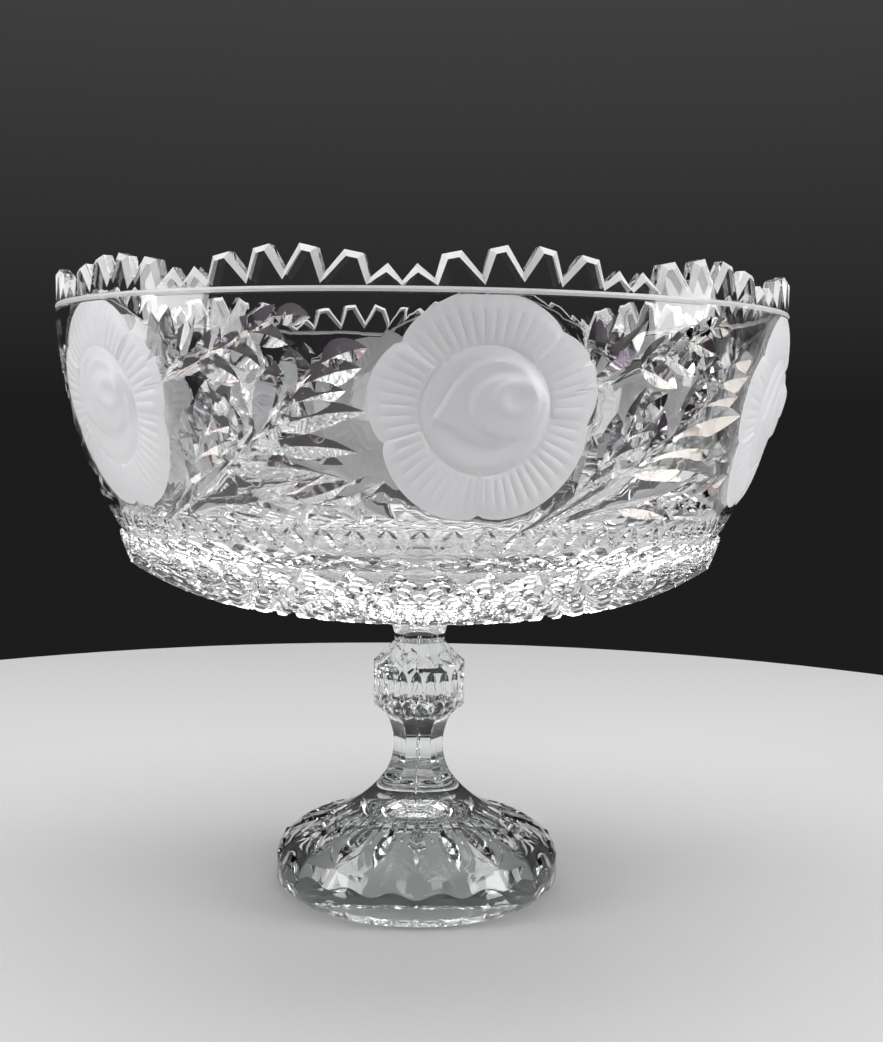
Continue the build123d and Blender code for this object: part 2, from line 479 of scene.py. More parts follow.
def rose_points():
    """Corners for the relief: rings in the petals, a finer grid in the bud."""
    spots = []
    for k in PETAL_RINGS:
        ring = BUD_RADIUS + k
        for step in range(RIBS * 4):
            angle = 360 * step / (RIBS * 4)
            if ring < rose_edge(angle) - 0.9:
                spots.append(rose_spot(ring, angle))
    rows = int(BUD_RADIUS / BUD_PITCH)
    for row in range(-rows, rows + 1):
        for column in range(-rows, rows + 1):
            dx, dz = (column + 0.5 * (row % 2)) * BUD_PITCH, row * BUD_PITCH * 0.87
            if math.hypot(dx, dz) < BUD_RADIUS - 0.5:
                spots.append((ROSE_X + dx, ROSE_HEIGHT + dz))
    return spots


print("corners in one rose", len(rose_points()))

# %% [markdown]
# ## The saw-tooth rim
# The rim has twelve scallops. Each has four blunt teeth, the inner two taller, and two
# small pointed teeth meet over the lowest valley between scallops. The edges of the teeth
# are ground back, which shows as a white line all along the rim. A bevel operator would
# round the corners at this size, so the ground line is the outline moved inwards.

# %% Rim outline
SCALLOP = 30.0           # degrees
HALF_SCALLOP_TEETH = [   # share of half a scallop, millimetres under the top of the rim
    (0.00, 12.0), (0.12, 6.4), (0.265, 11.0), (0.32, 3.4), (0.48, 2.1), (0.655, 9.8),
    (0.715, 1.4), (0.865, 0.0), (1.00, 8.5),
]
BEVEL = 2.1              # width of the ground edge on the face of the teeth
BEVEL_DEPTH = 1.6
MITRE = 0.66             # a sharp corner moves no further than the distance over this
PERIOD = SCALLOP * MM_PER_DEGREE


def scallop_outline():
    half = [(share * SCALLOP / 2, drop) for share, drop in HALF_SCALLOP_TEETH]
    whole = half + [(SCALLOP - angle, drop) for angle, drop in half[-2:0:-1]]
    return [(angle * MM_PER_DEGREE, RIM_TOP - drop) for angle, drop in whole]


def inset_line(points, distance):
    """Moves a repeating line down and into the glass by a distance, mitred at its corners."""
    count = len(points)
    lowest = LEDGE + 1.1
    moved = []
    for k in range(count):
        x0, z0 = points[k - 1]
        if k == 0:
            x0 -= PERIOD
        x1, z1 = points[k]
        x2, z2 = points[(k + 1) % count]
        if k == count - 1:
            x2 += PERIOD
        a = Vector((x1 - x0, z1 - z0)).normalized()
        b = Vector((x2 - x1, z2 - z1)).normalized()
        na, nb = Vector((a.y, -a.x)), Vector((b.y, -b.x))
        middle = (na + nb).normalized()
        reach = distance / max(MITRE, middle.dot(na))
        moved.append((x1 + middle.x * reach, max(lowest, z1 + middle.y * reach)))
    return moved


tooth_line = scallop_outline()
outer_line = inset_line(tooth_line, BEVEL)
inner_line = inset_line(tooth_line, BEVEL * 0.5)
print("corners in one scallop", len(tooth_line))

# %% Teeth over one sixth
TOOTH_SHIFT = (SCALLOP_TURN - ROSE_TURN) * MM_PER_DEGREE   # first valley, from the rose


def sixth(line, guide):
    """The part of a repeating line over one sixth of the bowl, ends included.

    The guide decides where the sixth is cut, so that all lines are cut at the same tooth."""
    laid = [
        (gx + TOOTH_SHIFT + PERIOD * n, gz, x + TOOTH_SHIFT + PERIOD * n, z)
        for n in range(-2, 4) for (gx, gz), (x, z) in zip(guide, line)
    ]
    cut = []
    for (g0, _, x0, z0), (g1, _, x1, z1) in zip(laid, laid[1:]):
        for limit in (LEFT, RIGHT):
            if g0 <= limit < g1:
                share = (limit - g0) / (g1 - g0)
                cut.append((x0 + share * (x1 - x0), z0 + share * (z1 - z0)))
        if LEFT < g1 < RIGHT:
            cut.append((x1, z1))
    return cut


print("corners in one sixth", len(sixth(outer_line, outer_line)))

# %% [markdown]
# ## The outer wall
# One sixth of the wall is carved and turned six times, because the mould repeats itself.
# The ledge line is a fine bead. The sheet ends at the step ring below and at the teeth
# above, and its two sides meet their copies corner to corner, because both sides are cut by
# the same leaves. Each face gets the number of its finish while its place is still known.

# %% Height of the wall
BEAD = 0.9               # half height of the ledge bead
BEAD_PROUD = 0.4
WALL_FINISH, FROST_FINISH, GROUND_FINISH, CUT_FINISH = 0, 1, 2, 3


def wrapped(x):
    return (x + GAP / 2) % GAP - GAP / 2


leaf_fields = [(leaf, shift) for leaf in leaves for shift in (-GAP, 0, GAP)]


def wall_cut(x, z):
    return max(leaf.depth(x - shift, z) for leaf, shift in leaf_fields)


def wall_height(x, z):
    """Height of the finished surface over the plain wall."""
    if in_rose(wrapped(x), z):
        raw = rose_relief(wrapped(x), z)
        return RELIEF * raw - SUNK * min(1.0, raw)
    if z > LEDGE - BEAD - 0.01:
        return BEAD_PROUD if abs(z - LEDGE) < 0.2 else 0.0
    return -wall_cut(x, z) if z > STEP_TOP + 0.1 else 0.0


def finish_at(x, z):
    if in_rose(x, z):
        return FROST_FINISH
    if abs(z - LEDGE) < BEAD:
        return GROUND_FINISH
    return CUT_FINISH if wall_cut(x, z) > 0.05 else WALL_FINISH


def unroll_place(x, z, lift=0.0):
    """Wraps unrolled millimetres onto the bowl."""
    return turned(wall_radius(z) + lift, math.radians(x / MM_PER_DEGREE + ROSE_TURN), z)


print("deepest cut", round(max(wall_cut(*leaf.spot(0.5)) for leaf in leaves), 2), "mm")

# %% Lines on the wall
MARGIN = 24.0            # cuts are laid this far past the sides of the sixth
EDGE_STEPS = 16          # straight pieces of each ring over one sixth


def near(edges):
    """The edges that can touch the sixth that is drawn."""
    return [e for e in edges if LEFT - MARGIN < e[0][0] < RIGHT + MARGIN]


def buried(point):
    return in_rose(wrapped(point[0]), point[1])


wall_edges = []
for leaf, shift in leaf_fields:
    moved = [((ax + shift, az), (bx + shift, bz)) for (ax, az), (bx, bz) in leaf.edges()]
    wall_edges += [(a, b) for a, b in near(moved) if not (buried(a) and buried(b))]
for shift in (-GAP, 0, GAP):
    outline = [(x + shift, z) for x, z in rose_outline]
    wall_edges += near(polyline(outline, closed=True))

sides = []
for x in (LEFT, RIGHT):
    sides += polyline(between((x, STEP_TOP), (x, LEDGE - 6), 9))
    sides += polyline(between((x, LEDGE - 6), (x, LEDGE + 8), 4))
base_line = polyline(between((LEFT, STEP_TOP), (RIGHT, STEP_TOP), EDGE_STEPS))
bead_lines = []
for z in (LEDGE - BEAD, LEDGE, LEDGE + BEAD):
    bead_lines += polyline(between((LEFT, z), (RIGHT, z), EDGE_STEPS))
top_line = sixth(outer_line, outer_line)
wall_edges += sides + base_line + bead_lines + polyline(top_line)
print("edges laid", len(wall_edges))

# %% Loose corners on the plain glass
PLAIN_PITCH = 4.0
ROSE_CLEAR = 40.0        # no loose corner is nearer to the middle of the rose

plain_points = []
for row in range(1, int(WALL_HEIGHT / PLAIN_PITCH)):
    z = STEP_TOP + row * PLAIN_PITCH
    for column in range(-19, 20):
        x = (column + 0.5 * (row % 2)) * PLAIN_PITCH
        inside = LEFT + 1 < x < RIGHT - 1 and z < LEDGE - 2.5
        rose_gap = math.hypot(x - ROSE_X, z - ROSE_HEIGHT)
        if inside and rose_gap > ROSE_CLEAR and wall_cut(x, z) == 0:
            plain_points.append((x, z))
print("loose corners", len(plain_points))

# %% Carve the wall
def top_of(line, x):
    """Height of a line of teeth at a place along it."""
    for (x0, z0), (x1, z1) in zip(line, line[1:]):
        if x0 != x1 and min(x0, x1) <= x <= max(x0, x1):
            return z0 + (x - x0) / (x1 - x0) * (z1 - z0)
    return math.inf


flat, faces = carve_flat(
    wall_edges, plain_points + rose_points(),
    lambda x, z: LEFT < x < RIGHT and STEP_TOP < z < max(LEDGE + 1, top_of(top_line, x)))
middles = [[sum(flat[i][axis] for i in face) / len(face) for axis in (0, 1)] for face in faces]
finish = [finish_at(*middle) for middle in middles]
lifted = [(x, z, wall_height(x, z)) for x, z in flat]
bowl_shell = Shell()
bowl_shell.add(lifted, faces, unroll_place, finish, turns=ROSES)
print("wall sheet", len(flat), "corners", len(faces), "faces, turned", ROSES, "times")

# %% [markdown]
# ## The teeth in depth
# From outside to inside a tooth has a ground bevel, a clear flank and a narrower ground
# bevel. They are strips between four copies of the tooth line, each at its own radius and
# with the same number of corners, so that they join without a gap.

# %% Tooth edges
INSIDE = RIM_RADIUS - WALL
INNER_BEVEL_DEPTH = 0.8


def placed_at(radius):
    """A placing function for a sheet that lies on an upright cylinder."""
    return lambda x, z: turned(radius, math.radians(x / MM_PER_DEGREE + ROSE_TURN), z)


def strip(low, low_radius, high, high_radius, finish):
    """Quads between two lines of one sixth, each at its own radius."""
    count = len(low)
    points = [placed_at(low_radius)(*p) for p in low]
    points += [placed_at(high_radius)(*p) for p in high]
    quads = [(k, k + 1, count + k + 1, count + k) for k in range(count - 1)]
    bowl_shell.add(points, quads, lambda *p: p, finish, turns=ROSES)


edge_line = sixth(tooth_line, outer_line)
back_line = sixth(inner_line, outer_line)
flank_out, flank_in = RIM_RADIUS - BEVEL_DEPTH, INSIDE + INNER_BEVEL_DEPTH
strip(top_line, RIM_RADIUS, edge_line, flank_out, GROUND_FINISH)
strip(edge_line, flank_out, edge_line, flank_in, WALL_FINISH)
strip(edge_line, flank_in, back_line, INSIDE, GROUND_FINISH)
print("corners along one sixth of the teeth", len(edge_line))

# %% Inside of the teeth
back_edges = polyline(back_line) + polyline(between((LEFT, LEDGE), (RIGHT, LEDGE), EDGE_STEPS))
back_edges += [((LEFT, LEDGE), back_line[0]), ((RIGHT, LEDGE), back_line[-1])]


def in_back(x, z):
    """True over the ledge, under the back line and between the two sides."""
    for (x0, z0), (x1, z1), side in (
            ((LEFT, LEDGE), back_line[0], 1), ((RIGHT, LEDGE), back_line[-1], -1)):
        at = x0 + (z - z0) / (z1 - z0) * (x1 - x0)
        if side * (x - at) < 0:
            return False
    return LEDGE < z < top_of(back_line, x)


back_flat, back_faces = carve_flat(back_edges, [], in_back)
bowl_shell.add(back_flat, back_faces, placed_at(INSIDE), WALL_FINISH, turns=ROSES)
print("inside of the teeth", len(back_faces), "faces")

# %% [markdown]
# ## The plain inside
# The plunger leaves the inside smooth, so it is a turned surface: rings along one profile.
# The profile follows the wall at its thickness, rounds the corner and crosses the floor.

# %% Arcs
def arc(start, middle, end, steps):
    """Points of the arc through three points."""
    a, b, c = (complex(*point) for point in (start, middle, end))
    w = (c - a) / (b - a)
    centre = a + (b - a) * (w - abs(w) ** 2) / (2j * w.imag)
    swing = cmath.phase((c - centre) / (a - centre)) / steps
    line = [centre + (a - centre) * cmath.rect(1, k * swing) for k in range(1, steps)]
    return [start] + [(spot.real, spot.imag) for spot in line] + [end]


print("middle of a quarter circle", arc((1, 0), (0.6, 0.8), (0, 1), 2)[1])

# %% Inside profile
FLOOR = 9.0                                  # thickness of the bowl's floor
DOME_RISE = 8.7
DOME_CENTRE = COLLAR_FACE + 7.85             # underside of the floor, at the collar
DOME_SHOULDER = (67.0, DOME_CENTRE + DOME_RISE)
floor_arc = arc((0.0, DOME_CENTRE + FLOOR), (DOME_SHOULDER[0], DOME_SHOULDER[1] + FLOOR),
                (STEP_RADIUS - WALL, STEP_TOP), 24)
wall_arc = [(wall_radius(z) - WALL, z)
            for z in (STEP_TOP + (LEDGE - STEP_TOP) * k / 24 for k in range(25))]
corner = floor_arc[-1]
floor_end, wall_start = floor_arc[21], wall_arc[3]
corner_curve = [
    tuple((1 - t) ** 2 * a + 2 * t * (1 - t) * c + t * t * b
          for a, c, b in zip(floor_end, corner, wall_start))
    for t in (k / 8 for k in range(1, 8))
]
inside_profile = floor_arc[:22] + corner_curve + wall_arc[3:]
TURN = math.radians(ROSE_TURN)
bowl_shell.lathe(inside_profile, ROSES * EDGE_STEPS, WALL_FINISH, TURN)
print("inside rings", len(inside_profile))

# %% [markdown]
# ## Buttons under the bowl
# The whole underside is cut with two crossing spirals of grooves. What stands between the
# grooves is a field of four-sided buttons, smaller towards the collar. Their flat tops and
# sides catch the light all round and make the lower edge of the bowl bumpy. The grooves
# cross at the corners of rings, each ring turned by half a button to the one before, so the
# cells are quads and each quad is drawn out into a button.

# %% Buttons
def add_buttons(shell, profile, count, height, top):
    """A field of buttons on a profile of groove corners; top is the share left flat."""
    angles = [TURN + math.pi * k / count for k in range(2 * count)]
    start = len(shell.verts)
    shell.verts += [turned(r, angle, z) for r, z in profile for angle in angles]

    def number(row, k):
        return start + row * 2 * count + k % (2 * count)

    for row, (r, z) in enumerate(profile):
        for k in range(row % 2, 2 * count, 2):
            left, right = number(row, k - 1), number(row, k + 1)
            if row in (0, len(profile) - 1):      # half a cell at the edge of the field
                inner = number(1, k) if row == 0 else number(row - 1, k)
                shell.faces.append((left, number(row, k), right, inner))
                shell.finish.append(WALL_FINISH)
                continue
            corners = [left, number(row - 1, k), right, number(row + 1, k)]
            ahead, behind = profile[row + 1], profile[row - 1]
            run = Vector((ahead[0] - behind[0], ahead[1] - behind[1])).normalized()
            cell = Vector(turned(r, angles[k], z))
            out = Vector(turned(run.y, angles[k], -run.x))
            middle = cell + out * (height * r * math.pi / count)
            base = len(shell.verts)
            for corner in corners:
                spot = Vector(shell.verts[corner])
                shell.verts.append(tuple(middle + (spot - cell) * top))
            tops = [base, base + 1, base + 2, base + 3]
            shell.faces.append(tops)
            for n in range(4):
                m = (n + 1) % 4
                shell.faces.append((corners[n], corners[m], tops[m], tops[n]))
            shell.finish += [WALL_FINISH] * 5


# %% Rows of buttons
def along(path, radii):
    """Heights of a path read at given radii."""
    points = []
    for r in radii:
        for (r0, z0), (r1, z1) in zip(path, path[1:]):
            if r0 <= r <= r1 + 1e-6:
                points.append((r, z0 + (r - r0) / (r1 - r0) * (z1 - z0)))
                break
    return points


def shrinking(inner, outer, rows):
    """Radii from inner to outer in a fixed ratio."""
    return [inner * (outer / inner) ** (k / rows) for k in range(rows + 1)]


BUTTONS = ROSES * EDGE_STEPS // 2   # two corners of the wall's lowest ring to a button
BUTTON_ROWS = 34
BUTTON_HEIGHT, BUTTON_TOP = 0.56, 0.34       # over half the pitch; share left flat
collar_head = (14.4, DOME_CENTRE)

shoulder_radius, shoulder_height = DOME_SHOULDER
inner_path = arc(collar_head, (39.8, DOME_CENTRE + 0.42 * DOME_RISE), DOME_SHOULDER, 60)
outer_run, outer_rise = STEP_RADIUS - shoulder_radius, STEP_BASE - shoulder_height
outer_path = arc(
    DOME_SHOULDER, (shoulder_radius + 0.58 * outer_run, shoulder_height + 0.37 * outer_rise),
    (STEP_RADIUS, STEP_BASE), 60)
button_radii = shrinking(collar_head[0], STEP_RADIUS, BUTTON_ROWS)
button_rows = [collar_head] + along(inner_path + outer_path[1:], button_radii[1:-1])
button_rows.append((STEP_RADIUS, STEP_BASE))
add_buttons(bowl_shell, button_rows, BUTTONS, BUTTON_HEIGHT, BUTTON_TOP)
print("rows of buttons", len(button_rows), "with", BUTTONS, "to a row")

# %% Step ring and collar
step_rows = [(STEP_RADIUS, z) for z in (STEP_BASE, STEP_BASE + STEP_HEIGHT / 2, STEP_TOP)]
add_buttons(bowl_shell, step_rows, BUTTONS, 0.1, 0.5)
collar = [(0, COLLAR_FACE), (11.0, COLLAR_FACE), (11.6, COLLAR_FACE + 2.2),
          (12.6, COLLAR_FACE + 4.8), collar_head]
bowl_shell.lathe(collar, 2 * BUTTONS, WALL_FINISH, TURN)

bowl = bowl_shell.make("bowl_crystal_shell")

# %% [markdown]
# ## The pressed foot
# The foot is hollow underneath, and twenty pointed petals are pressed into its top. A
# thumb-print border turns the top edge of its rim into twenty waves, and the bevel on the
# table side is nicked all round. The plain parts are turned rings whose shape function moves
# some corners; only the field of petals needs a carved sheet.

# %% Foot profile
FOOT_RADIUS = foot_high.x / MM
FOOT_REST = FOOT_RADIUS - 4.8
HOLLOW_RADIUS = FOOT_REST - 4.0
HOLLOW_HEIGHT = 34.0
HOLLOW_SPHERE = (HOLLOW_RADIUS ** 2 + HOLLOW_HEIGHT ** 2) / (2 * HOLLOW_HEIGHT)
FOOT_TOP = 46.2
FOOT_RIM = 15.0
FOOT_LEDGE = 15.6
AROUND = 240             # corners in a ring
FOLD = 20                # petals, waves, thumb cuts and heel teeth
run, fall = FOOT_RADIUS - FOOT_LEDGE, FOOT_TOP - FOOT_RIM
foot_bend = (FOOT_LEDGE + 0.63 * run, FOOT_RIM + 0.39 * fall)
foot_path = arc((FOOT_LEDGE, FOOT_TOP), (FOOT_LEDGE + 0.25 * run, FOOT_RIM + 0.66 * fall),
                foot_bend, 40)
foot_path += arc(foot_bend, (FOOT_LEDGE + 0.86 * run, FOOT_RIM + 0.24 * fall),
                 (FOOT_RADIUS, FOOT_RIM), 30)[1:]
PETAL_ZONE = (22.0, 56.5)
print("foot radius", round(FOOT_RADIUS, 2), "hollow", round(HOLLOW_RADIUS, 2))

# %% Hollow, bevel and wavy rim
foot_shell = Shell()
BEVEL_TOP = 4.5          # height of the bevel on the table side
NICK, WAVE = 0.8, 1.4    # height of a nick and half height of a wave

hollow = [(0.0, HOLLOW_HEIGHT)]
for k in range(1, 25):
    tilt = k / 24 * math.asin(HOLLOW_RADIUS / HOLLOW_SPHERE)
    hollow.append((HOLLOW_SPHERE * math.sin(tilt),
                   HOLLOW_HEIGHT - HOLLOW_SPHERE * (1 - math.cos(tilt))))
hollow[-1] = (HOLLOW_RADIUS, 0.0)
foot_shell.lathe(hollow + [(FOOT_REST, 0.0)], AROUND)


def nicked(r, z, angle):
    """The bevel has forty small nicks where it meets the rim wall."""
    nick = abs(math.sin(FOLD * angle))
    return (r, z + NICK * (1 - nick) ** 6) if r > FOOT_REST + 1 else (r, z)


def waved(r, z, angle):
    """The wavy edge; the border between it and the plain shoulder is fluted."""
    wave = math.cos(FOLD * angle)
    if r > FOOT_RADIUS - 0.6:
        if z < 6.0:
            return nicked(r, z, angle)
        return (r, z - WAVE * wave * (z > 13.0))
    if r > FOOT_RADIUS - 3.0:
        return (r - 0.3 * wave, z - 0.4 * wave)
    return (r, z)


border = along(foot_path, [PETAL_ZONE[1]])[0]
upright = [(FOOT_RADIUS, z) for z in (BEVEL_TOP, 5.6, 7.5, 11.0, 14.0)]
foot_shell.lathe([(FOOT_REST, 0.0)] + upright[:2], AROUND, shape=nicked)
foot_shell.lathe(
    upright[1:] + [(FOOT_RADIUS - 0.55, 14.8), (FOOT_RADIUS - 2.6, 19.4), border],
    AROUND, shape=waved)
print("faces so far", len(foot_shell.faces))

# %% [markdown]
# ## Petals of the foot
# One sheet of eighteen degrees holds one petal, the fine lines that fan out from its tip and
# half of each rib beside it. It is drawn flat, with a degree as a fixed length, and wrapped
# onto the dome. The depth is taken at right angles to the dome, or the steep part of the
# foot would be cut too thin.

# %% Petal field
PETAL_SCALE = 0.75       # unrolled millimetres for a degree of the foot
SECTOR = 360 / FOLD * PETAL_SCALE / 2


def foot_height_at(r):
    return along(foot_path, [min(FOOT_RADIUS, max(FOOT_LEDGE, r))])[0][1]


class Petal(Leaf):
    """A leaf with blunter ends."""

    def width_at(self, t):
        return self.half * math.sin(math.pi * t ** 0.95) ** 0.75 if 0 < t < 1 else 0.0


foot_cuts = [Petal((0.0, 27.5), (0.0, 55.2), 7.4, slope=0.95)]
for side in (-1, 1):     # two fine lines from the tip, and a rib on each side
    x = side * SECTOR
    foot_cuts.append(Leaf((0.0, 56.0), (x, 47.0), 0.9, bend=side * 1.2, slope=0.5))
    foot_cuts.append(Leaf((x, 25.0), (x, 44.5), 1.6, slope=0.5))


def foot_sheet():
    edges = []
    for cut in foot_cuts:
        edges += cut.edges()
    low, high = PETAL_ZONE
    for x in (-SECTOR, SECTOR):
        edges += polyline(between((x, low), (x, high), 12))
    for r in (low, high):
        edges += polyline(between((-SECTOR, r), (SECTOR, r), AROUND // FOLD))
    grid = [(x * SECTOR / 3, low + (high - low) * k / 12)
            for x in (-2, -1, 0, 1, 2) for k in range(1, 12)]
    return carve_flat(edges, grid, lambda x, r: abs(x) < SECTOR and low < r < high)


def foot_place(x, r):
    depth = 0.0
    if PETAL_ZONE[0] + 0.1 < r < PETAL_ZONE[1] - 0.1:
        depth = max(cut.depth(x, r) for cut in foot_cuts)
    angle = math.radians(x / PETAL_SCALE)
    slope = foot_height_at(r + 0.5) - foot_height_at(r - 0.5)
    lean = math.hypot(1, slope)
    return turned(r + depth * slope / lean, angle, foot_height_at(r) - depth / lean)


foot_shell.add(*foot_sheet(), foot_place, turns=FOLD)
print("faces so far", len(foot_shell.faces))

# %% [markdown]
# ## Stem and knop
# The stem is a waisted hexagon, so it shows flat mirror-like facets. Its rings have as many
# corners as the round ones, only moved onto a hexagon, so that round and six-sided parts
# join without a seam. The knop is round: a belt of twenty upright thumb cuts, with a
# toothed heel below and ten kite facets above.

# %% Stem
WAIST = 10.6
KNOP_BASE, KNOP_TOP = 75.9, 106.0
BELT = (KNOP_BASE + 3.6, KNOP_TOP - 8.7)
KNOP = 19.6
NECK = 10.8


def hexagonal(r, z, angle):
    """Moves a corner of a ring onto a hexagon that has the ring's radius at its corners."""
    turn = (math.degrees(angle) + 30) % 60 - 30
    return (r * math.cos(math.radians(30)) / math.cos(math.radians(turn)), z)


inner_foot = along(foot_path, [FOOT_LEDGE + 0.01, 16.6, 18.0, 20.0, PETAL_ZONE[0]])
foot_shell.lathe(list(reversed(inner_foot)), AROUND)
foot_shell.lathe(
    [inner_foot[0], (FOOT_LEDGE, FOOT_TOP)], AROUND,
    shape=lambda r, z, angle: hexagonal(r, z, angle) if z == FOOT_TOP else (r, z))
waist_curve = arc((FOOT_LEDGE, FOOT_TOP), (WAIST, (FOOT_TOP + KNOP_BASE) / 2),
                  (FOOT_LEDGE, KNOP_BASE), 20)
foot_shell.lathe(waist_curve, AROUND, shape=hexagonal)
print("waist radius", WAIST)


# %% Heel of the knop
def heel(r, z, angle):
    """Twenty teeth round the heel of the knop."""
    if z < KNOP_BASE + 0.1:
        return hexagonal(r, z, angle) if r < FOOT_LEDGE + 0.005 else (r, z)
    tooth = abs(math.sin(FOLD / 2 * (angle - math.radians(6))))
    return (r - 0.9 * (1 - tooth), z - 0.3 * tooth) if z < BELT[0] - 0.1 else (r, z)


heel_start = (FOOT_LEDGE + 0.4, KNOP_BASE + 0.02)
foot_shell.lathe([(FOOT_LEDGE, KNOP_BASE), heel_start], AROUND, shape=heel)
foot_shell.lathe(
    [heel_start, (17.8, KNOP_BASE + 1.9), (KNOP - 0.1, BELT[0] - 0.7), (KNOP, BELT[0])], AROUND,
    shape=heel)
print("heel to", round(BELT[0], 1))

# %% Thumb cuts
BELT_SCALE = 0.342       # unrolled millimetres for a degree of the belt
BELT_SIDE = 360 / FOLD / 2 * BELT_SCALE
BELT_TURN = -3.0


class Thumb(Hollow):
    """An oval hollow."""

    def width_at(self, t):
        return self.half * math.sqrt(math.sin(math.pi * t)) if 0 < t < 1 else 0.0


thumb = Thumb((0.0, BELT[0] + 1.2), (0.0, BELT[1] - 1.2), 5.2, slope=0.55)


def belt_sheet():
    edges = thumb.edges()
    for x in (-BELT_SIDE, BELT_SIDE):
        edges += polyline(between((x, BELT[0]), (x, BELT[1]), 8))
    for z in BELT:
        edges += polyline(between((-BELT_SIDE, z), (BELT_SIDE, z), AROUND // FOLD))
    low, high = BELT
    return carve_flat(edges, [], lambda x, z: abs(x) < BELT_SIDE and low < z < high)


def belt_place(x, z):
    return turned(KNOP - thumb.depth(x, z), math.radians(x / BELT_SCALE + BELT_TURN), z)


foot_shell.add(*belt_sheet(), belt_place, turns=FOLD)
print("thumb cuts", FOLD)


# %% Kites and neck
def kites(r, z, angle):
    """Ten kite facets between the belt and the neck."""
    if z > KNOP_TOP - 0.01 or z < BELT[1] + 0.01:
        return (r, z)
    place = abs(((math.degrees(angle) + 18) % 36) / 18 - 1)
    middle = 1 - abs((z - BELT[1]) / (KNOP_TOP - BELT[1]) - 0.5) * 2
    return (r - 1.5 * (1 - place) * middle, z - 0.9 * (1 - place) * middle)


shoulder = [(KNOP + (NECK - KNOP) * t, BELT[1] + (KNOP_TOP - BELT[1]) * t)
            for t in (0, 0.25, 0.5, 0.75, 1)]
foot_shell.lathe(shoulder, AROUND, shape=kites)
neck_foot = (NECK - 0.01, KNOP_TOP)
foot_shell.lathe([(NECK, KNOP_TOP), neck_foot], AROUND,
                 shape=lambda r, z, angle: hexagonal(r, z, angle) if r < NECK else (r, z))
foot_shell.lathe([neck_foot, (NECK - 0.01, JOINT), (0.0, JOINT)], AROUND, shape=hexagonal)
print("faces of the pedestal", len(foot_shell.faces))

# %% [markdown]
# ## Mould seam
# The pedestal comes from a mould of two halves, which leave a fine upright line. One line of
# corners at the front, and one behind, is lifted a quarter of a millimetre. The inside of
# the hollow has no seam, because the plunger is one piece.

# %% Mould seam
SEAM_TURN = -3.0
SEAM_PROUD = 0.25
for number, (x, y, z) in enumerate(foot_shell.verts):
    r = math.hypot(x, y)
    turn = (math.degrees(math.atan2(x, -y)) - SEAM_TURN + 90) % 180 - 90
    roof = HOLLOW_HEIGHT - HOLLOW_SPHERE + math.sqrt(max(0.0, HOLLOW_SPHERE ** 2 - r * r))
    outside = 9.0 < r < FOOT_RADIUS - 1 and max(roof, 0) + 2 < z < JOINT - 1
    if abs(turn) < 0.3 and outside:
        out = 1 + SEAM_PROUD / r
        foot_shell.verts[number] = (x * out, y * out, z + 0.15)
pedestal = foot_shell.make("pedestal_crystal_shell")

# %% [markdown]
# ## Shader tools
# Nodes are added from code. One small class wraps an output socket, so that sums are
# written as sums, and a single method adds any other node with its settings and inputs.

# %% Shader tools
class Node:
    """One output socket; arithmetic on it adds maths nodes."""

    def __init__(self, tree, socket):
        self.tree, self.socket = tree, socket

    def add(self, kind, settings=None, output=0, **sockets):
        """Any other node: its settings first, then its sockets by name or number."""
        node = self.tree.nodes.new(kind)
        for key, value in (settings or {}).items():
            setattr(node, key, value)
        for key, value in sockets.items():
            place = int(key[1:]) if key[0] == "_" else key.replace("_", " ")
            if isinstance(value, Node):
                self.tree.links.new(value.socket, node.inputs[place])
            else:
                node.inputs[place].default_value = value
        return Node(self.tree, node.outputs[output])

    def maths(self, operation, *values):
        sockets = {f"_{k}": v for k, v in enumerate(values)}
        return self.add("ShaderNodeMath", {"operation": operation}, **sockets)

    def __add__(self, other):
        return self.maths("ADD", self, other)

    def __radd__(self, other):
        return self.maths("ADD", other, self)

    def __rsub__(self, other):
        return self.maths("SUBTRACT", other, self)

    def __mul__(self, other):
        return self.maths("MULTIPLY", self, other)

    def __rmul__(self, other):
        return self.maths("MULTIPLY", other, self)


def grey(value):
    return (value, value, value, 1.0)


def new_material(name):
    """A material, a starting point for its nodes, and its Principled shader."""
    material = bpy.data.materials.new(name)
    material.use_nodes = True
    tree = material.node_tree
    shader = next(n for n in tree.nodes if n.type == "BSDF_PRINCIPLED")
    return material, Node(tree, None), shader


def glass(name, colour, roughness, ior):
    """Clear glass: the Principled shader with all of its light passing through."""
    material, _, shader = new_material(name)
    shader.inputs["Base Color"].default_value = colour
    shader.inputs["Roughness"].default_value = roughness
    shader.inputs["IOR"].default_value = ior
    shader.inputs["Transmission Weight"].default_value = 1.0
    return material, shader


print("a tone", grey(0.5))

# %% [markdown]
# ## Clear and ground glass
# The bowl is colourless lead crystal, which bends light a little more than the plainer,
# faintly green glass of the pedestal. A cut facet splits white light into colours. The
# renderer bends all colours alike, so a very thin film on the facets stands for them. The
# edge of the teeth is ground and only half polished, so part of its light is scattered.

# %% Clear and ground glass
CRYSTAL_IOR = 1.55
POLISHED = 0.0
crystal, _ = glass("bowl_crystal", grey(0.985), POLISHED, CRYSTAL_IOR)
facet, shader = glass("cut_facet", grey(0.985), 0.06, CRYSTAL_IOR)
shader.inputs["Thin Film Thickness"].default_value = 460.0
shader.inputs["Thin Film IOR"].default_value = 1.49
ground, shader = glass("ground_edge", grey(0.92), 0.35, CRYSTAL_IOR)
shader.inputs["Transmission Weight"].default_value = 0.45
foot_glass, _ = glass("pedestal_crystal", (0.965, 0.985, 0.972, 1.0), POLISHED, 1.52)
adhesive, _ = glass("clear_adhesive", grey(0.55), 0.12, 1.45)
print("glass", [m.name for m in (crystal, facet, ground, foot_glass, adhesive)])

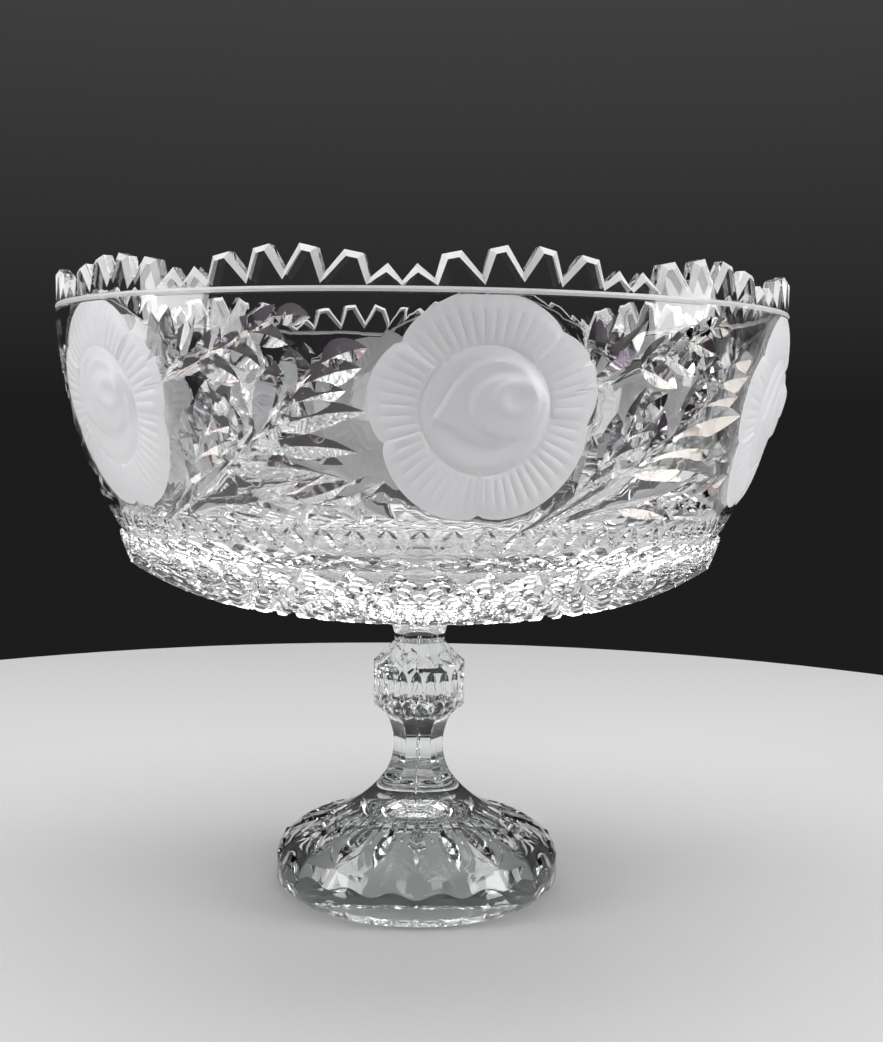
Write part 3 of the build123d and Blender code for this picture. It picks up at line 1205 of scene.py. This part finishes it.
# %% [markdown]
# ## Frosted glass
# Acid leaves a skin of tiny pits on the roses, which scatters most of the light that falls
# on it and lets some through. A weak broad noise varies its whiteness, as a hand-applied
# frost does, and a fine noise feeds a small bump for the pits.

# %% Frosted glass
frost, node, shader = new_material("frosted_rose")
place = node.add("ShaderNodeTexCoord", output=3)
grain = node.add("ShaderNodeTexNoise", Vector=place, Scale=900.0, Detail=3.0)
clouds = node.add("ShaderNodeTexNoise", Vector=place, Scale=30.0, Detail=2.0)
tone = 0.83 + clouds * 0.1
tint = node.add("ShaderNodeCombineColor", _0=tone, _1=tone, _2=tone * 1.01)
bump = node.add("ShaderNodeBump", Height=grain, Strength=0.25, Distance=0.0002)
frost.node_tree.links.new(tint.socket, shader.inputs["Base Color"])
frost.node_tree.links.new(bump.socket, shader.inputs["Normal"])
shader.inputs["Roughness"].default_value = 0.5
shader.inputs["IOR"].default_value = 1.5
shader.inputs["Transmission Weight"].default_value = 0.35
print("frost nodes", len(frost.node_tree.nodes))

# %% [markdown]
# ## Finishes on the pieces
# A face of the bowl holds the number of its finish, so the materials are added in the order
# of those numbers. Both new pieces ride on the only body and stand in for their solids. The
# disc of adhesive keeps its solid and only gets a darker, clear material, which shows as
# the thin dark line under the collar.

# %% Hand the pieces over
for piece, node_name, slot_name, materials in (
        (bowl, "bowl", "bowl_crystal", [crystal, frost, ground, facet]),
        (pedestal, "pedestal", "pedestal_crystal", [foot_glass])):
    for material in materials:
        piece.data.materials.append(material)
    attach(piece, "root")
    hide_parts(node_name)
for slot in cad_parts["bond_disc"].material_slots:
    slot.material = adhesive

# %% [markdown]
# ## Floor and light
# The floor is plain and pale. Broad lamps stand left, right, above and in front, and the
# room is dark, so that the cut glass shows both bright and dark facets. Clear glass in an
# evenly white room would vanish.

# %% Floor
TABLE_RADIUS, TABLE_THICKNESS = 0.6, 0.02
bpy.ops.mesh.primitive_cylinder_add(
    vertices=128, radius=TABLE_RADIUS, depth=TABLE_THICKNESS,
    location=(0, 0, -TABLE_THICKNESS / 2))
floor = bpy.context.object
floor.name = "floor"
floor_paint, _, surface = new_material("floor")
surface.inputs["Base Color"].default_value = grey(0.5)
surface.inputs["Roughness"].default_value = 0.9
floor.data.materials.append(floor_paint)
print("floor radius", TABLE_RADIUS, "m")

# %% Lamps
MIDDLE = (0, 0, 0.15)    # the lamps aim here


def softbox(name, location, size, power):
    """A rectangular lamp that is itself unseen by the camera; power in watts."""
    data = bpy.data.lights.new(name, "AREA")
    data.shape = "RECTANGLE"
    data.size, data.size_y = size
    data.energy = power
    lamp = bpy.data.objects.new(name, data)
    lamp.location = location
    aim = Vector(MIDDLE) - Vector(location)
    lamp.rotation_euler = aim.to_track_quat("-Z", "Y").to_euler()
    lamp.visible_camera = False
    bpy.context.scene.collection.objects.link(lamp)
    print(name, power, "W")


softbox("top_box", (0, 0.1, 1.25), (1.2, 0.8), 14)
softbox("left_box", (-1.3, -0.35, 0.6), (0.6, 1.0), 12)
softbox("right_box", (1.3, -0.25, 0.6), (0.6, 1.0), 12)
softbox("front_box", (0.3, -1.5, 0.9), (1.0, 0.4), 5)

# %% [markdown]
# ## The room
# The world has two jobs. Seen directly, in a reflection or through the glass, it is a dark
# room that grows lighter upwards. For all other rays it is an even soft light, which keeps
# the shadows and the frosted roses from going black. Light Path tells the rays apart.

# %% Room
ROOM_DARK, ROOM_RISE, AMBIENT = 0.012, 0.14, 0.3
CAMERA_RAY, GLOSSY_RAY, TRANSMISSION_RAY = 0, 3, 6   # outputs of the Light Path node
world = bpy.data.worlds.new("world")
bpy.context.scene.world = world
world.use_nodes = True
sky = Node(world.node_tree, None)
ways = sky.add("ShaderNodeTexCoord", output=0)
height = sky.add("ShaderNodeSeparateXYZ", output=2, Vector=ways)
room = ROOM_DARK + height.maths("MAXIMUM", height, 0.0) * ROOM_RISE
seen = sky.add("ShaderNodeLightPath", output=CAMERA_RAY)
for ray in (GLOSSY_RAY, TRANSMISSION_RAY):
    seen = seen.maths("MAXIMUM", seen, sky.add("ShaderNodeLightPath", output=ray))
shade = room * seen + AMBIENT * (1.0 - seen)
colour = sky.add("ShaderNodeCombineColor", _0=shade, _1=shade, _2=shade * 1.04)
background = world.node_tree.nodes["Background"]
world.node_tree.links.new(colour.socket, background.inputs["Color"])
print("room nodes", len(world.node_tree.nodes))

# %% [markdown]
# ## Light paths
# A ray that enters the front wall leaves through the back wall only after many surfaces,
# so the number of bounces is raised; with too few the far wall turns black.

# %% Light paths
bpy.context.scene.view_settings.view_transform = "Standard"
cycles = bpy.context.scene.cycles
cycles.max_bounces = 16
cycles.transmission_bounces = 16
cycles.glossy_bounces = 6
print("bounces", cycles.max_bounces)
